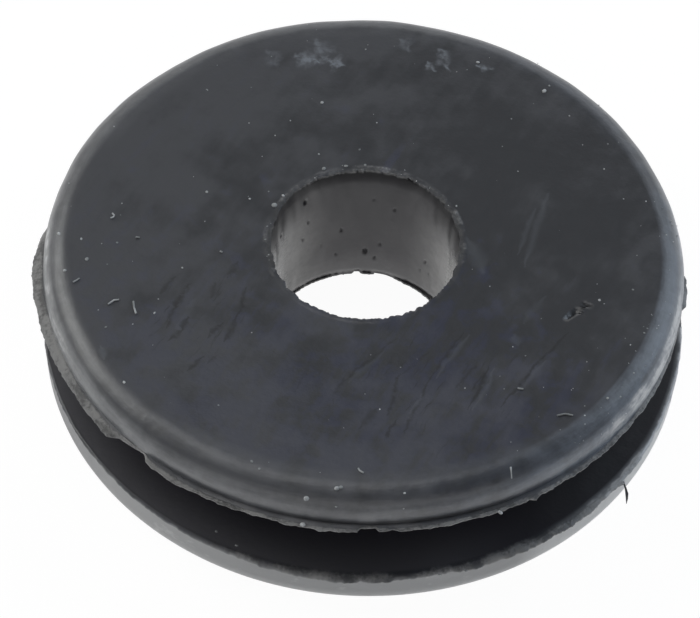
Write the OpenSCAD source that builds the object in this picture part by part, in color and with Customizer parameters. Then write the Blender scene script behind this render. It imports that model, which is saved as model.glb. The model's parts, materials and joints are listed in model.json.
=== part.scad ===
// Rubber grommet: two round flanges, a panel groove between them and a cable
// bore through the hub, moulded as one piece. It stands on its lower flange:
// the origin is the bore's axis at the bottom face, and +Z runs up the bore.

/* [Flanges] */
// Diameter of the upper flange, without its flash
upper_flange_d = 25; // [21:0.1:40]
// Diameter of the lower flange, without its flash
lower_flange_d = 25.2; // [21:0.1:40]
// Thickness of the upper flange at its rim
upper_flange_t = 1.3; // [1.3:0.1:5]
// Thickness of the lower flange at its rim
lower_flange_t = 2.2; // [1.3:0.1:5]
// Radius of the rounded shoulder between each outer face and its rim
shoulder_r = 1.1; // [0.2:0.05:1.1]

/* [Panel groove] */
// Clear width between the flanges, which takes the panel's edge
groove_w = 3; // [1:0.1:8]
// Diameter of the groove's floor, which fills the hole in the panel
hub_d = 17; // [11:0.1:20]
// Radius of the fillet where the groove's floor meets each flange
groove_r = 0.3; // [0.1:0.05:0.45]

/* [Cable bore] */
// Diameter of the bore
bore_d = 7.6; // [2:0.1:10]
// How far the skin of flash at each mouth reaches into the bore
lip_reach = 0.12; // [0.05:0.01:0.3]
// Thickness of that skin
lip_t = 0.12; // [0.05:0.01:0.3]
// How far the skin's torn edge wanders in and out
lip_rough = 0.03; // [0:0.01:0.04]

/* [Moulding flash] */
// Thickness of the flash fins along the two parting lines
flash_t = 0.1; // [0.05:0.01:0.15]
// Reach of the upper fin beyond its flange where it is widest
upper_fin_reach = 0.4; // [0.1:0.01:0.6]
// Reach of the lower fin beyond its flange where it is widest
lower_fin_reach = 0.32; // [0.1:0.01:0.6]
// Share of its reach that is left where a fin is narrowest
fin_least = 0.15; // [0.1:0.05:1]
// How far the torn edge wanders in and out
flash_rough = 0.04; // [0:0.01:0.05]
// Direction in which the upper fin is widest
upper_fin_side = 225; // [0:5:355]
// Direction in which the lower fin is widest
lower_fin_side = 275; // [0:5:355]
// Direction of the gap where a length of the upper fin is torn off
tear_side = 229; // [0:1:359]
// Angle that the torn gap spans
tear_span = 5; // [2:1:40]
// Direction of the square nick in the upper fin
nick_side = 272; // [0:1:359]
// Angle that the nick spans
nick_span = 4; // [2:1:20]

/* [Hidden] */
$fn = 120;
eps = 0.01;
height = lower_flange_t + groove_w + upper_flange_t;
groove_z = lower_flange_t;
upper_z = lower_flange_t + groove_w;
// How deep each fin is rooted in its rim, and its steps round the grommet
flash_root = 0.5;
fin_steps = 180;
// Steps round the torn edge of a mouth's skin
lip_steps = 90;
// Share of the upper fin's reach that the tear and the nick leave
tear_left = 0.15;
nick_left = 0.5;

// 1 inside a span of directions, 0 outside it
function within(a, side, span) =
    abs(((a - side + 540) % 360) - 180) < span / 2 ? 1 : 0;

// Share of a fin's reach in one direction: 1 at side and least opposite it
function swell(a, side) =
    fin_least + (1 - fin_least) * (1 + cos(a - side)) / 2;

// What the tear and the nick leave of the upper fin
function upper_left(a) =
    within(a, tear_side, tear_span) == 1 ? tear_left :
    within(a, nick_side, nick_span) == 1 ? nick_left : 1;

// Section of a flange from the axis out, with its outer face at the top
module flange_section(d, t) {
    difference() {
        square([d / 2, t]);
        translate([d / 2 - shoulder_r, t - shoulder_r])
            difference() {
                square(shoulder_r + 1);
                circle(shoulder_r);
            }
    }
}

// Section of the fillet that joins the groove's floor to the flange above it
module groove_fillet_section() {
    translate([hub_d / 2, 0])
        difference() {
            translate([-eps, -groove_r])
                square([groove_r + eps, groove_r + eps]);
            translate([groove_r, -groove_r])
                circle(groove_r);
        }
}

module flange(d, t) {
    rotate_extrude() flange_section(d, t);
}

module groove_fillet() {
    rotate_extrude() groove_fillet_section();
}

// Thin ragged fin round a flange of diameter d, upward from z = 0
module fin(d, reach, side, seed, torn) {
    wander = rands(-flash_rough, flash_rough, fin_steps, seed);
    outline = [
        for (i = [0:fin_steps - 1])
            let (
                a = i * 360 / fin_steps,
                left = torn ? upper_left(a) : 1,
                r = d / 2 + left * (reach * swell(a, side) + wander[i])
            )
            [r * cos(a), r * sin(a)]
    ];
    linear_extrude(flash_t)
        difference() {
            polygon(outline);
            circle(d = d - 2 * flash_root);
        }
}

// Skin of flash with a torn edge that narrows a mouth of the bore
module mouth_lip(seed) {
    wander = rands(-lip_rough, lip_rough, lip_steps, seed);
    torn_edge = [
        for (i = [0:lip_steps - 1])
            let (
                a = i * 360 / lip_steps,
                r = bore_d / 2 - lip_reach + wander[i]
            )
            [r * cos(a), r * sin(a)]
    ];
    linear_extrude(lip_t)
        difference() {
            circle(d = bore_d + 2 * lip_t);
            polygon(torn_edge);
        }
}

module grommet() {
    color([0.06, 0.063, 0.068]) {
        difference() {
            union() {
                translate([0, 0, upper_z])
                    flange(upper_flange_d, upper_flange_t);
                translate([0, 0, lower_flange_t])
                    mirror([0, 0, 1])
                        flange(lower_flange_d, lower_flange_t);
                translate([0, 0, groove_z - eps])
                    cylinder(d = hub_d, h = groove_w + 2 * eps);
                translate([0, 0, upper_z]) groove_fillet();
                translate([0, 0, groove_z])
                    mirror([0, 0, 1]) groove_fillet();
                translate([0, 0, upper_z])
                    fin(upper_flange_d, upper_fin_reach, upper_fin_side, 11, true);
                translate([0, 0, groove_z - flash_t])
                    fin(lower_flange_d, lower_fin_reach, lower_fin_side, 29, false);
            }
            translate([0, 0, -1])
                cylinder(d = bore_d, h = height + 2);
        }
        mouth_lip(5);
        translate([0, 0, height - lip_t]) mouth_lip(17);
    }
}

grommet();
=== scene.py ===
# %% [markdown]
# # A rubber grommet
#
# A grommet lines a hole in a panel, so that a cable can pass through without chafing. This one is a
# single moulding in black rubber: two round flanges, a groove between them for the panel's edge, and a
# bore for the cable. Everything in this lesson is worked out in millimetres and put into Blender in metres.
#
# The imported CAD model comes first, as a fixed frame. It says how large the grommet is and where it stands.

# %% Load the frame
import json
import math
import random
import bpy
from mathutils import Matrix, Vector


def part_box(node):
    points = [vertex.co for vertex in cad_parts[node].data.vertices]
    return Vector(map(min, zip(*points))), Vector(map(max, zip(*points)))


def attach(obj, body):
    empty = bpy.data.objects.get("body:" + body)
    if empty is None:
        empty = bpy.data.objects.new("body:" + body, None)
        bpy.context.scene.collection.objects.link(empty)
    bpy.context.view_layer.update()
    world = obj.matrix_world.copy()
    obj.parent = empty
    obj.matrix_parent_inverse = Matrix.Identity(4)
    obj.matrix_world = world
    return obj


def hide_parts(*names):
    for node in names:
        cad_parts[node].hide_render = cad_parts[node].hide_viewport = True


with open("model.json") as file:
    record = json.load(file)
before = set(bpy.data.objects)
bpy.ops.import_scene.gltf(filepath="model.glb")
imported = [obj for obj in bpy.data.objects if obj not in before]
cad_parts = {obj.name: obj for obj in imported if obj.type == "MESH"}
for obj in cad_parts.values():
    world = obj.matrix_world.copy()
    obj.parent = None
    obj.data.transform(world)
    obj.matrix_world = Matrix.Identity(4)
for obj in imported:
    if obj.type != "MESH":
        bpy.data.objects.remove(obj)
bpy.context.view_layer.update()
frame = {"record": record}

from types import SimpleNamespace

import bmesh
import bpy
from mathutils import Matrix, Vector, kdtree, noise

MM = 0.001

# %% [markdown]
# ## The camera
#
# A small object is best seen from some way off through a long lens, which keeps the two flanges' circles
# from spreading apart. The camera looks down at about 51 degrees, and leans a little to one side, as a
# hand-held one does. Its angles are turned into one rotation: the tilt about X, then the pan about Z,
# with the lean applied first.

# %% Camera
VIEW_ELEVATION = 50.914
VIEW_DISTANCE = 146.93
VIEW_PAN = -0.2935
VIEW_TILT = 0.2159
VIEW_LEAN = 2.5615
LENS = 191.17
SENSOR_WIDTH = 36
AIM_HEIGHT = 3.25


def turn(degrees, axis):
    return Matrix.Rotation(math.radians(degrees), 4, axis)


def add_camera():
    elevation = math.radians(VIEW_ELEVATION)
    away = Vector((0, -math.cos(elevation), math.sin(elevation))) * VIEW_DISTANCE
    place = Matrix.Translation((away + Vector((0, 0, AIM_HEIGHT))) * MM)
    looking_down = turn(90 - VIEW_ELEVATION - VIEW_TILT, "X")
    data = bpy.data.cameras.new("camera")
    data.lens = LENS
    data.sensor_width = SENSOR_WIDTH
    data.clip_start = 0.005
    data.clip_end = 20
    camera = bpy.data.objects.new("camera", data)
    camera.matrix_world = place @ turn(-VIEW_PAN, "Z") @ looking_down @ turn(VIEW_LEAN, "Z")
    bpy.context.scene.collection.objects.link(camera)
    bpy.context.scene.camera = camera
    return camera


bpy.context.scene.view_settings.view_transform = "Standard"
camera = add_camera()
print("camera stands", round(camera.location.length / MM), "mm from the grommet")

# %% [markdown]
# ## The section
#
# A grommet is round, so the way to make it is to draw half of its section once and spin it. Its sizes
# follow the CAD model's, to a few hundredths of a mm. The bore and the height are read from the frame,
# and the rest is written down here in mm. Thin fins at the groove's two edges are flash: rubber that
# crept between the halves of the mould. The two mouths of the bore have a skin of flash too.

# %% Sizes of the section
record_mounts = {mount["name"]: mount for mount in frame["record"]["mounts"]}
BORE_R = record_mounts["bore"]["dims"]["r_mm"]
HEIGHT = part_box("grommet")[1][2] / MM
UPPER_R = 12.5
LOWER_R = 12.62
LOWER_T = 2.2
GROOVE_W = 3.0
HUB_R = 8.5
SHOULDER_R = 1.1
FILLET_R = 0.3
FIN_T = 0.1
FIN_REACH = 0.4
LIP_T = 0.12
LIP_REACH = 0.12
UPPER_Z = LOWER_T + GROOVE_W
print("height", round(HEIGHT, 2), "bore radius", BORE_R)

# %% [markdown]
# ## Draw the section
#
# The section is a closed chain of corners, as radius and height. The two outer corners are the rounded
# shoulders, and the two inner ones the fillets in the groove, and both kinds are bevelled.

# %% Draw the section
UPPER_STEPS = 18
LOWER_STEPS = 11
FILLET_STEPS = 3
INSIDE_RIM = 0.1


def section_corners():
    lip_r = BORE_R - LIP_REACH
    return {
        "lower lip, under": (lip_r, 0),
        "lower shoulder": (LOWER_R, 0),
        "lower fin root": (LOWER_R, LOWER_T - FIN_T),
        "lower fin tip, under": (LOWER_R + FIN_REACH, LOWER_T - FIN_T),
        "lower fin tip": (LOWER_R + FIN_REACH, LOWER_T),
        "lower fin root, above": (LOWER_R, LOWER_T),
        "lower flange, above": (LOWER_R - INSIDE_RIM, LOWER_T),
        "lower fillet": (HUB_R, LOWER_T),
        "upper fillet": (HUB_R, UPPER_Z),
        "upper fin root, under": (UPPER_R, UPPER_Z),
        "upper fin tip, under": (UPPER_R + FIN_REACH, UPPER_Z),
        "upper fin tip": (UPPER_R + FIN_REACH, UPPER_Z + FIN_T),
        "upper fin root": (UPPER_R, UPPER_Z + FIN_T),
        "upper shoulder": (UPPER_R, HEIGHT),
        "upper lip": (lip_r, HEIGHT),
        "upper lip, under": (lip_r, HEIGHT - LIP_T),
        "bore, top": (BORE_R, HEIGHT - LIP_T),
        "bore, foot": (BORE_R, LIP_T),
        "lower lip": (lip_r, LIP_T),
    }


def round_corner(bm, corner, radius, steps):
    bmesh.ops.bevel(
        bm, geom=[corner], offset=radius * MM, offset_type="OFFSET", affect="VERTICES",
        segments=steps, profile=0.5, material=-1,
    )


def draw_section(bm):
    corners = {name: bm.verts.new((r * MM, 0, z * MM)) for name, (r, z) in section_corners().items()}
    chain = list(corners.values())
    for one, following in zip(chain, chain[1:] + chain[:1]):
        bm.edges.new((one, following))
    round_corner(bm, corners["lower shoulder"], SHOULDER_R, LOWER_STEPS)
    round_corner(bm, corners["upper shoulder"], SHOULDER_R, UPPER_STEPS)
    for name in ("lower fillet", "upper fillet"):
        round_corner(bm, corners[name], FILLET_R, FILLET_STEPS)


section = bmesh.new()
draw_section(section)
print("the section has", len(section.verts), "points")

# %% [markdown]
# ## More points where detail will come
#
# Later steps move points, and there have to be enough of them: close together on the fins and the lips,
# which get ragged edges, and far apart where the surface is plain or hidden. Each edge of the section is
# halved until it is short enough for where it lies, which costs less than fine steps everywhere.

# %% Split the section's edges
NEAR = 0.01
LONGEST_STEP = {
    "fin, from above": 0.07, "fin, elsewhere": 0.21, "lower rim": 0.15, "lip": 0.12,
    "bore": 0.4, "face": 0.6, "hidden": 1.2,
}


def longest_step(r, z):
    """The longest edge, in mm, that the section may have near one place."""
    if r > UPPER_R + 0.05:
        from_above = abs(z - LOWER_T) < NEAR or abs(z - UPPER_Z - FIN_T) < NEAR
        return LONGEST_STEP["fin, from above" if from_above else "fin, elsewhere"]
    if abs(z - LOWER_T) < NEAR and r > LOWER_R - 0.75:
        return LONGEST_STEP["lower rim"]
    if abs(r - BORE_R) < 0.25:
        at_mouth = z > HEIGHT - 0.9 or z < 0.35
        return LONGEST_STEP["lip" if at_mouth else "bore"]
    if r < BORE_R + 0.7 and z > HEIGHT - 0.1:
        return LONGEST_STEP["lip"]
    if z > HEIGHT - 0.1:
        return LONGEST_STEP["face"]
    return LONGEST_STEP["hidden"]


def is_long(edge):
    start, end = (vert.co / MM for vert in edge.verts)
    places = [start.lerp(end, share) for share in (0.1, 0.5, 0.9)]
    return edge.calc_length() / MM > 1.001 * min(longest_step(place.x, place.z) for place in places)


def split_long_edges(bm):
    long_edges = [edge for edge in bm.edges if is_long(edge)]
    while long_edges:
        bmesh.ops.subdivide_edges(bm, edges=long_edges, cuts=1)
        long_edges = [edge for edge in bm.edges if is_long(edge)]


split_long_edges(section)
print("now it has", len(section.verts), "points")

# %% [markdown]
# ## Spin the section
#
# A full spin about the bore's axis would make the whole grommet, but it gets slow with this many points.
# A quarter turn is quick, and two mirrors of it, one across X and one across Y, close the circle with
# every seam merged. A spin can leave the faces pointing inwards, and the normals are worked out again at
# once, while the shape is still simple. The edges that run round the fins are halved as well.

# %% Spin
SPIN_STEPS = 540
TOUCHING = 0.001


def spin_section(bm):
    bmesh.ops.spin(
        bm, geom=bm.verts[:] + bm.edges[:], cent=(0, 0, 0), axis=(0, 0, 1), angle=math.tau / 4,
        steps=SPIN_STEPS // 4, use_merge=False, use_duplicate=False,
    )
    for axis in ("X", "Y"):
        whole = bm.verts[:] + bm.edges[:] + bm.faces[:]
        bmesh.ops.mirror(bm, geom=whole, matrix=Matrix(), merge_dist=TOUCHING * MM, axis=axis)
    bmesh.ops.recalc_face_normals(bm, faces=bm.faces[:])


def radius_of(point):
    return math.hypot(point.x, point.y) / MM


def azimuth_of(point):
    return math.degrees(math.atan2(point.y, point.x)) % 360


def runs_round_fin(edge):
    one, other = (vert.co for vert in edge.verts)
    outside = min(radius_of(one), radius_of(other)) > LOWER_R + 0.05
    level = abs(one.z - other.z) < TOUCHING * MM
    return outside and level and abs(radius_of(one) - radius_of(other)) < TOUCHING


def halve_fin_edges(bm):
    edges = [edge for edge in bm.edges if runs_round_fin(edge)]
    bmesh.ops.subdivide_edges(bm, edges=edges, cuts=1, use_single_edge=True)


grommet_mesh = section
spin_section(grommet_mesh)
halve_fin_edges(grommet_mesh)
print("after the spin:", len(grommet_mesh.verts), "vertices,", len(grommet_mesh.faces), "faces")

# %% [markdown]
# ## Shape by moving points
#
# The rest of the shaping moves points that are already there. Each feature is one small function from a
# place on the grommet, as radius, azimuth and height in mm, to a new radius and height. Azimuth is counted
# in degrees from +X, so that 270 faces the viewer. Wandering edges come from a noise that depends on the
# place alone, and so they are the same on every run.

# %% Helpers for shaping
SEEDS_APART = 17.3


def smooth(low, high, x):
    """0 below low, 1 above high, and an even slope between them. With low above high it falls instead."""
    t = min(max((x - low) / (high - low), 0), 1)
    return t * t * (3 - 2 * t)


def point_at(r, azimuth, z=0):
    a = math.radians(azimuth)
    return Vector((math.cos(a) * r, math.sin(a) * r, z))


def wander(azimuth, across, seed, length):
    """A noise of about -1 to 1 that wanders along the rim, with bumps about length mm long."""
    return noise.noise(point_at(UPPER_R / length, azimuth, across / length + seed * SEEDS_APART))


def rough(azimuth, seed, length):
    """Wander with two finer layers on it, for a torn edge."""
    layers = ((1, length), (0.7, length / 2.3), (0.5, length / 5))
    return sum(share * wander(azimuth, 0, seed + i, size) for i, (share, size) in enumerate(layers))


def between(stops, azimuth):
    """The value at an azimuth, on straight lines between (azimuth, value) stops."""
    stops = [(stops[-1][0] - 360, stops[-1][1])] + stops + [(stops[0][0] + 360, stops[0][1])]
    for (a, low), (b, high) in zip(stops, stops[1:]):
        if a <= azimuth <= b:
            return low + (high - low) * (azimuth - a) / max(b - a, 0.001)
    return stops[0][1]


def reshape(bm, feature):
    """Moves each vertex to the radius and height that feature gives for its radius, azimuth and height."""
    for vert in bm.verts:
        r, azimuth, z = radius_of(vert.co), azimuth_of(vert.co), vert.co.z / MM
        placed = feature(r, azimuth, z)
        if placed:
            new_r, new_z = placed
            vert.co.x *= new_r / r
            vert.co.y *= new_r / r
            vert.co.z = new_z * MM


print("a point at 270 degrees lies at", [round(c, 1) for c in point_at(UPPER_R, 270)])

# %% [markdown]
# ## The flash
#
# The upper fin is widest on the left and in front, is torn off for a short length at the front left, has a
# square nick in front, and is almost gone on the right. The stops give its reach round the rim, and how
# far its tip droops. A torn edge is thinner than the root, wavers up and down a little, has small teeth,
# and is never a clean line.

# %% Flash
UPPER_FIN = [
    (0, 0.12), (1, 0.03), (28, 0.03), (36, 0.12), (150, 0.06), (174, 0.02), (176, 0.25), (180, 0.38),
    (184, 0.44), (188, 0.42), (190, 0.48), (192, 0.42), (196, 0.36), (200, 0.4), (206, 0.34),
    (212, 0.29), (219, 0.35), (223.3, 0.38), (224.5, 0.28), (225.3, 0.14), (228, 0.08), (230.9, 0.02),
    (231.5, 0.12), (232.3, 0.27), (234, 0.35), (243, 0.36), (246, 0.29), (256, 0.31), (264, 0.38),
    (271.1, 0.35), (271.4, 0.16), (274.1, 0.15), (274.5, 0.3), (286, 0.33), (291, 0.28), (301, 0.28),
    (302, 0.42), (303.5, 0.3), (316, 0.22), (324, 0.18), (338, 0.1), (345, 0.04), (353, 0.01),
    (354, 0.14),
]
LOWER_FIN = [
    (0, 0.05), (30, 0.05), (90, 0.08), (180, 0.05), (225, 0.08), (240, 0.1), (249, 0.13), (258, 0.23),
    (266, 0.3), (275, 0.28), (282, 0.16), (300, 0.26), (315, 0.22), (322.4, 0.18), (323.2, 0.3),
    (324, 0.16), (335, 0.1), (345, 0.05),
]
UPPER_DROOP = [
    (0, 0.05), (90, 0.1), (150, 0.15), (175, 0.28), (205, 0.26), (223, 0.2), (226, 0.08), (232, 0.03),
    (300, 0.02),
]
LOWER_DROOP = [
    (0, 0.04), (180, 0.04), (225, 0.06), (245, 0.1), (258, 0.13), (300, 0.1), (335, 0.04),
]
TORN = 0.05
TORN_LENGTH = 0.8
UPPER_TEETH = 0.05
LOWER_TEETH = 0.07
TOOTH_LENGTH = 0.4
FULL_TEETH_FROM = 0.2
TIP_THIN = 0.45
FIN_WAVER = 0.04
WAVER_LENGTH = 1.4
LEAST_REACH = 0.004


def fin(rim_r, low, stops, droops, teeth, seed):
    """The feature that shapes one fin: how far it reaches, how its edge is torn and how its tip droops."""
    def feature(r, azimuth, z):
        if r < rim_r + LEAST_REACH or not low - NEAR < z < low + FIN_T + NEAR:
            return None
        out = (r - rim_r) / FIN_REACH
        reach = between(stops, azimuth)
        wear = min(reach / FULL_TEETH_FROM, 1) * out * smooth(0.4, 1, out)
        torn = TORN * wander(azimuth, 0, seed, TORN_LENGTH)
        torn += teeth * rough(azimuth, seed + 2, TOOTH_LENGTH)
        reached = max(out * reach + torn * wear, LEAST_REACH * out)
        middle = low + FIN_T / 2
        thickness = 1 - (1 - TIP_THIN) * out
        lift = FIN_WAVER * out * rough(azimuth, seed + 5, WAVER_LENGTH) - between(droops, azimuth) * out * out
        return rim_r + reached, middle + (z - middle) * thickness + lift
    return feature


reshape(grommet_mesh, fin(UPPER_R, UPPER_Z, UPPER_FIN, UPPER_DROOP, UPPER_TEETH, 3))
reshape(grommet_mesh, fin(LOWER_R, LOWER_T - FIN_T, LOWER_FIN, LOWER_DROOP, LOWER_TEETH, 9))
print("fins reach", [round(max(reach for _, reach in stops), 2) for stops in (UPPER_FIN, LOWER_FIN)], "mm")

# %% [markdown]
# ## The upper mouth of the bore
#
# Where the core pin met the mould plates, a skin of flash was torn out of the bore. It leaves a frayed
# edge that hangs over the bore and sags a little, with a low bead behind it. The stops say how much of
# the skin is left: less than all of it at the back, and hardly any in front.

# %% Upper lip
BEAD_HEIGHT = 0.012
BEAD_WIDTH = 0.2
FRAY = 0.07
SAG = 0.04
UPPER_SKIN = [
    (0, 1.0), (30, 0.8), (60, 0.4), (82, 0.5), (91, 0.85), (100, 0.5), (120, 0.4), (150, 0.8),
    (175, 1.2), (195, 1.1), (215, 0.5), (235, 0.05), (305, 0.05), (325, 0.5), (345, 1.0),
]


def upper_lip(r, azimuth, z):
    if r > BORE_R + BEAD_WIDTH + 0.1 or z < HEIGHT - LIP_T - NEAR:
        return None
    place = point_at(r, azimuth)
    inward = smooth(BORE_R, BORE_R - LIP_REACH, r)
    moved = smooth(BORE_R + 0.25, BORE_R - LIP_REACH, r)
    over = smooth(BORE_R - LIP_REACH, BORE_R - 0.03, r) * smooth(BORE_R + BEAD_WIDTH, BORE_R + 0.1, r)
    ripple = 1 + 1.6 * noise.noise(place / 0.5) + 0.8 * noise.noise(place / 0.22)
    bead = BEAD_HEIGHT * over * ripple * smooth(HEIGHT - 0.05, HEIGHT, z)
    torn_off = LIP_REACH * (1 - between(UPPER_SKIN, azimuth))
    fray = FRAY * (wander(azimuth, 0, 24, 0.9) + 0.6 * wander(azimuth, 0, 25, 0.25))
    sag = SAG * inward * wander(azimuth, 0, 31, 0.5)
    return r + moved * (torn_off + fray), z + bead + sag


reshape(grommet_mesh, upper_lip)
print("the upper lip is frayed by up to", FRAY, "mm")

# %% [markdown]
# ## The wall and foot of the bore
#
# The bore is never quite round. It is cut under just below its upper lip, narrows a little toward its foot
# and is rounded off there. The skin at the foot is narrower than the upper one. It is broken through in
# two places at the back, where bits of the foot were torn out with it. The stops say how much is left.

# %% Wall and foot of the bore
UNDERCUT = 0.06
UNDERCUT_HEIGHT = 0.75
BORE_UNEVEN = 0.02
FOOT_NARROWS = 0.05
FOOT_FLARE = 0.065
FOOT_FRAY = 0.03
NOTCH_HEIGHT = 0.13
NOTCH_DEPTH = 0.9
NOTCH_FADES = 0.4
LOWER_SKIN = [
    (20, 0.7), (45, 0.8), (62, 0.6), (70, 0.3), (78, 0.0), (83, 0.0), (85.5, 0.2), (87, 0.45),
    (91, 0.35), (92.4, 0.0), (96.8, 0.0), (97.8, 0.15), (105, 0.2), (118, 0.35), (150, 0.5), (300, 0.6),
]


def foot_flare(z):
    """What a height adds to the bore's radius: it narrows toward the foot, and is rounded off at the end."""
    return FOOT_FLARE * smooth(0.42, 0.1, z) - FOOT_NARROWS * smooth(2.5, 0.5, z)


def lower_lip(r, azimuth, z):
    if r > BORE_R - 0.005 or z > LIP_T + NEAR:
        return None
    inward = (BORE_R - r) / LIP_REACH
    reach = LIP_REACH * between(LOWER_SKIN, azimuth) + FOOT_FRAY * rough(azimuth, 41, 0.5)
    return BORE_R + foot_flare(0) - inward * max(reach, LEAST_REACH), z * (1 - 0.3 * inward)


def under_lip(z):
    """1 just under the upper lip, and 0 below the undercut."""
    return smooth(HEIGHT - LIP_T - UNDERCUT_HEIGHT, HEIGHT - LIP_T, z) * (z < HEIGHT - LIP_T + 0.005)


def bore_wall(r, azimuth, z):
    if abs(r - BORE_R) > 0.2 or not 0 < z < HEIGHT or r < BORE_R - 0.01:
        return None
    undercut = UNDERCUT * under_lip(z) * (1 + wander(azimuth, 0, 55, 1.5))
    uneven = BORE_UNEVEN * wander(azimuth, z, 51, 2.5) + BORE_UNEVEN * wander(azimuth, z, 52, 1.1)
    return r + undercut + foot_flare(z) + uneven * smooth(0, 0.6, z), z


def foot_notch(r, azimuth, z):
    if r > BORE_R + NOTCH_DEPTH or z > NOTCH_FADES:
        return None
    deep = smooth(92, 93, azimuth) * smooth(97.2, 96, azimuth)
    shallow = 0.8 * smooth(66, 78, azimuth) * (azimuth < 84)
    within = (deep + shallow) * smooth(BORE_R + NOTCH_DEPTH, BORE_R, r)
    return r, z + NOTCH_HEIGHT * within * (1 - z / NOTCH_FADES)


for feature in (lower_lip, bore_wall, foot_notch):
    reshape(grommet_mesh, feature)
print("undercut of", UNDERCUT, "mm at the top, and a notch", NOTCH_HEIGHT, "mm high at the foot")

# %% [markdown]
# ## Slack surfaces
#
# Moulded rubber is not machined. The flat face lies in very shallow waves and the shoulders swell and
# shrink by a few hundredths of a millimetre, which shows as wavering bands of light on them. The two
# halves of the mould never meet exactly, so each flange stands off by a few hundredths too.

# %% Waves
FACE_WAVE = 0.012
WAVE_LENGTH = 3.5
SHOULDER_WAVE = 0.03
UPPER_OFFSET = (0.0, -0.04)
LOWER_OFFSET = (0.06, -0.03)


def upper_waves(r, azimuth, z):
    if z < UPPER_Z + FIN_T + 0.02 or r < BORE_R + 0.05:
        return None
    on_face = smooth(HEIGHT - 0.2, HEIGHT - 0.02, z) * smooth(BORE_R, BORE_R + 1, r)
    on_shoulder = smooth(UPPER_R - SHOULDER_R - 0.2, UPPER_R - 0.3, r)
    wave = FACE_WAVE * on_face * noise.noise(point_at(r, azimuth) / WAVE_LENGTH)
    swell = SHOULDER_WAVE * on_shoulder * (wander(azimuth, z, 61, 2.6) + 0.4 * wander(azimuth, z, 62, 0.9))
    return r + swell, z + wave + 0.5 * swell * (z > HEIGHT - SHOULDER_R)


def shift_halves(bm):
    for vert in bm.verts:
        outside = smooth(BORE_R + 0.5, HUB_R, radius_of(vert.co))
        upper = smooth(LOWER_T + 0.3, UPPER_Z - 0.3, vert.co.z / MM)
        for share, offset in ((upper, UPPER_OFFSET), (1 - upper, LOWER_OFFSET)):
            vert.co += Vector((*offset, 0)) * share * outside * MM


reshape(grommet_mesh, upper_waves)
shift_halves(grommet_mesh)
print("waves of", FACE_WAVE, "mm on the face and", SHOULDER_WAVE, "mm on the shoulder")

# %% [markdown]
# ## Pits and a gouge
#
# Bubbles in the rubber leave small pits in the bore's wall, and the face has a short gouge, made here of
# dents in a row. A dent needs more points than the surface round it, so the faces near each one are
# subdivided before its points are pressed in. A pit is given as azimuth and height on the wall, a dent as
# X and Y on the face, both with a radius. Pits are taller than wide, as the pin was drawn out.

# %% Pits and gouge
BORE_PITS = [
    (130, 5.34, 0.11), (90, 1.44, 0.15), (84, 1.11, 0.11), (81, 1.99, 0.09), (108, 1.39, 0.09),
    (73, 4.31, 0.08), (50, 2.01, 0.09), (53, 1.35, 0.07), (105, 2.84, 0.09), (131, 3.07, 0.08),
    (127, 3.99, 0.07), (86, 4.69, 0.06), (46, 1.49, 0.06), (151, 4.51, 0.08), (138, 1.32, 0.07),
    (118, 2.2, 0.06), (205, 3.6, 0.1), (255, 2.4, 0.09), (318, 4.8, 0.1), (345, 1.7, 0.08),
]
FACE_DENTS = [
    (7.86, -3.24, 0.09), (7.97, -3.12, 0.1), (8.1, -2.99, 0.11), (8.22, -2.88, 0.09),
    (8.48, -2.64, 0.09), (8.62, -2.56, 0.09),
]
PIT_DEPTH = 0.12
DENT_DEPTH = 0.16
MARK_R = 0.12
BOWL_REACH = 1.5
PIT_STRETCH = 1.5
DENSE_RADII = 2.2
DENSE_MARGIN = 0.12
EDGE_ALLOWANCE = 0.6
SPLIT_OVER = 0.1


def tree_of_points(bm):
    bm.verts.ensure_lookup_table()
    bm.verts.index_update()
    points = kdtree.KDTree(len(bm.verts))
    for vert in bm.verts:
        points.insert(vert.co, vert.index)
    points.balance()
    return points


def distance_to_edge(edge, place):
    start = edge.verts[0].co
    along = edge.verts[1].co - start
    t = min(max((place - start).dot(along) / along.length_squared, 0), 1)
    return (start + along * t - place).length


def reach_of(vert, place, on_bore):
    """How far a point is from a mark, in mm."""
    offset = (vert.co - place) / MM
    across = PIT_STRETCH if on_bore else 1.0
    return math.hypot(offset.x * across, offset.y * across, offset.z)


def add_points(bm, marks, cuts):
    """Splits the edges near each mark, which is given as place, direction and radius."""
    points = tree_of_points(bm)
    near = set()
    for place, _, radius in marks:
        reach = (radius * DENSE_RADII + DENSE_MARGIN) * MM
        for _, index, _ in points.find_range(place, reach + EDGE_ALLOWANCE * MM):
            for edge in bm.verts[index].link_edges:
                if edge.calc_length() > SPLIT_OVER * MM and distance_to_edge(edge, place) < reach:
                    near.add(edge)
    bmesh.ops.subdivide_edges(bm, edges=list(near), cuts=cuts, use_grid_fill=True)


def press(bm, marks, cuts, depth, on_bore):
    """Presses bowls in. depth is for a bowl of radius MARK_R, and the others are in proportion."""
    add_points(bm, marks, cuts)
    points = tree_of_points(bm)
    for place, direction, radius in marks:
        for _, index, _ in points.find_range(place, radius * BOWL_REACH * MM):
            vert = bm.verts[index]
            share = min(reach_of(vert, place, on_bore) / radius / BOWL_REACH, 1)
            vert.co += direction * depth * MM * (radius / MARK_R) * (1 - share ** 2) ** 2


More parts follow.
